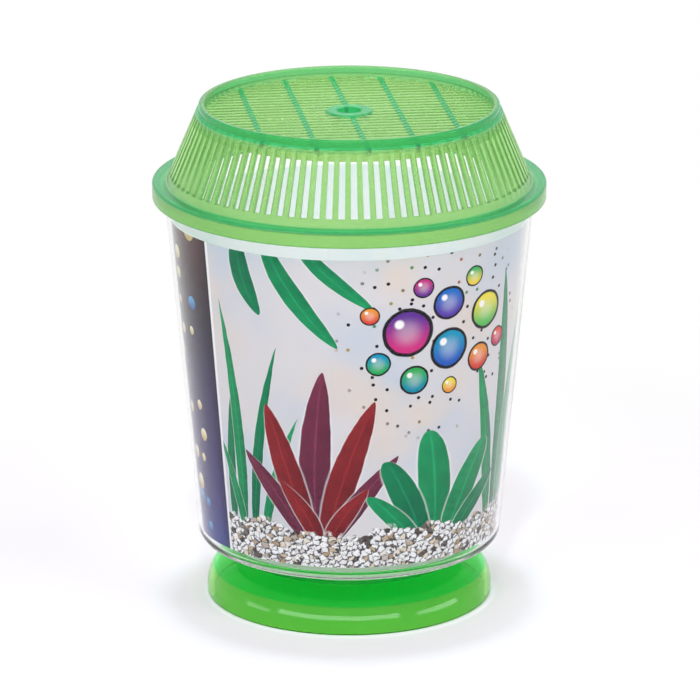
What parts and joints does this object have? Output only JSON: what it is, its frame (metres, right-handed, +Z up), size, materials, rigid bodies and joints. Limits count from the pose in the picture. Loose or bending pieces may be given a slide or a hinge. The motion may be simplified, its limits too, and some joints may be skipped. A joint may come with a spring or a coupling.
{
  "type": "plastic pet keeper",
  "caption": "Round tapered clear tank with a printed sleeve inside, a vented translucent lid that lifts off and a pedestal base that it stands on.",
  "frame": {"origin": "centre of the pedestal's foot, on the surface that it stands on", "axes": "+Z up along the round axis of all the pieces; the grille's bars run along X and its ribs along Y; the sleeve's seam is at the back, +Y"},
  "size_m": [0.14, 0.14, 0.1818],
  "materials": {
    "base_plastic": "polished transparent green",
    "clear_plastic": "polished clear",
    "printed_sheet": "printed on the outside, white on the inside, satin",
    "lid_plastic": "glossy translucent green"
  },
  "bodies": {
    "pedestal": {"pedestal_base": "base_plastic"},
    "tub": {"tank": "clear_plastic", "picture_sleeve": "printed_sheet"},
    "cover": {"lid": "lid_plastic"}
  },
  "joints": [
    {"name": "tank_lift", "type": "slide", "parent": "pedestal", "child": "tub", "axis": [0, 0, 1], "range_m": [0, 0.08]},
    {"name": "lid_lift", "type": "slide", "parent": "tub", "child": "cover", "axis": [0, 0, 1], "range_m": [0, 0.12]}
  ]
}
